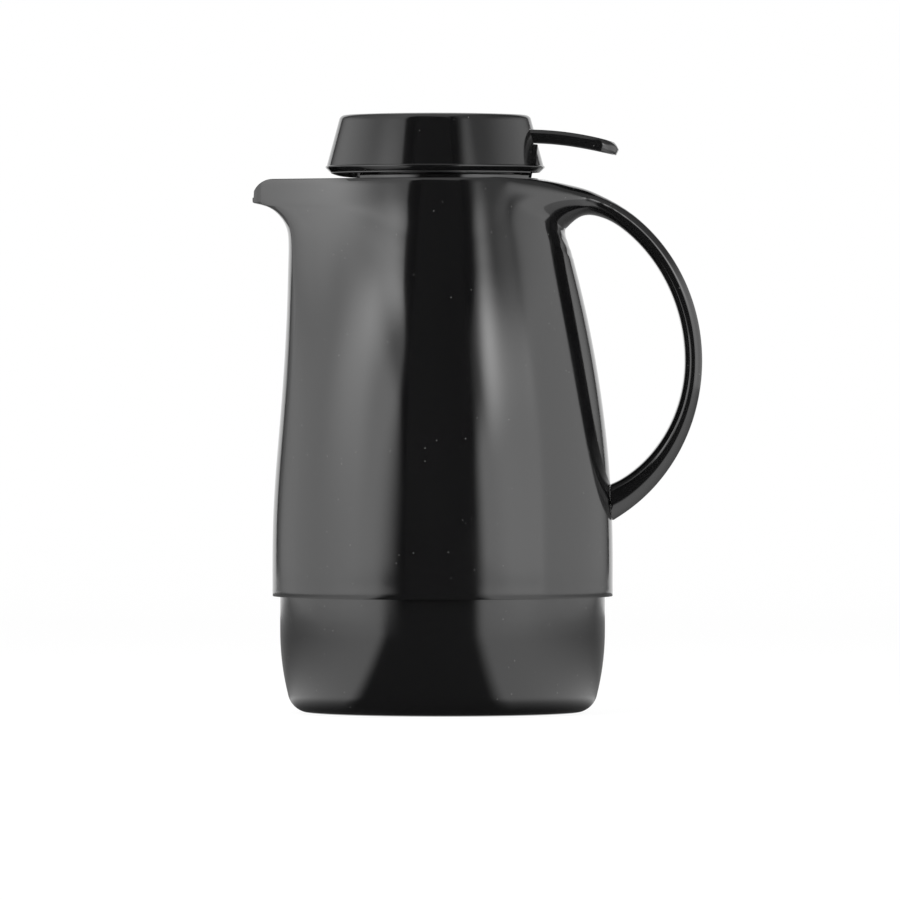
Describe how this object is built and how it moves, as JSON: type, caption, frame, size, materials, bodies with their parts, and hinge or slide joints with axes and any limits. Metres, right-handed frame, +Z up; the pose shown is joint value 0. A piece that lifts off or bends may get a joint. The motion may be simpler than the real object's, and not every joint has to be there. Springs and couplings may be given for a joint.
{
  "type": "vacuum jug",
  "caption": "Insulated serving jug with drawn-out pouring spout, looped handle, glass insert, lift-out stopper and a hinged conical cap opened by a thumb lever.",
  "frame": {"origin": "middle of the foot, on the jug's axis", "axes": "+Z up, +X towards the handle, spout towards -X"},
  "size_m": [0.1756, 0.133, 0.2339],
  "materials": {
    "gloss_black": "gloss",
    "inner_black": "satin",
    "silvered_glass": "mirror",
    "silicone": "matte",
    "dark_rubber": "matte",
    "steel": "satin",
    "spacer": "matte"
  },
  "bodies": {
    "jug": {"jacket": "gloss_black", "base_cup": "gloss_black", "glass_outer_wall": "silvered_glass", "glass_inner_wall": "silvered_glass", "glass_spacers": "spacer", "neck_gasket": "silicone", "insert_cushion": "dark_rubber", "base_seal": "dark_rubber", "handle_screw": "steel"},
    "stopper": {"stopper": "gloss_black", "stopper_seal": "silicone", "hinge_pin": "steel", "closing_spring": "steel"},
    "cap": {"cap_shell": "gloss_black", "thumb_lever": "gloss_black", "cap_base": "inner_black", "pour_seal": "silicone", "seal_retainer": "inner_black", "cap_screws": "steel", "lever_screws": "steel"}
  },
  "joints": [
    {"name": "stopper_lift", "type": "slide", "parent": "jug", "child": "stopper", "axis": [0, 0, 1], "range_m": [0, 0.1]},
    {"name": "cap_tilt", "type": "hinge", "parent": "stopper", "child": "cap", "pos_m": [0.03307, 0, 0.213], "axis": [0, 1, 0], "range_deg": [0, 24], "stiffness_Nm_per_rad": 0.12, "springref_deg": -68.75, "deforming": ["closing_spring"]}
  ]
}
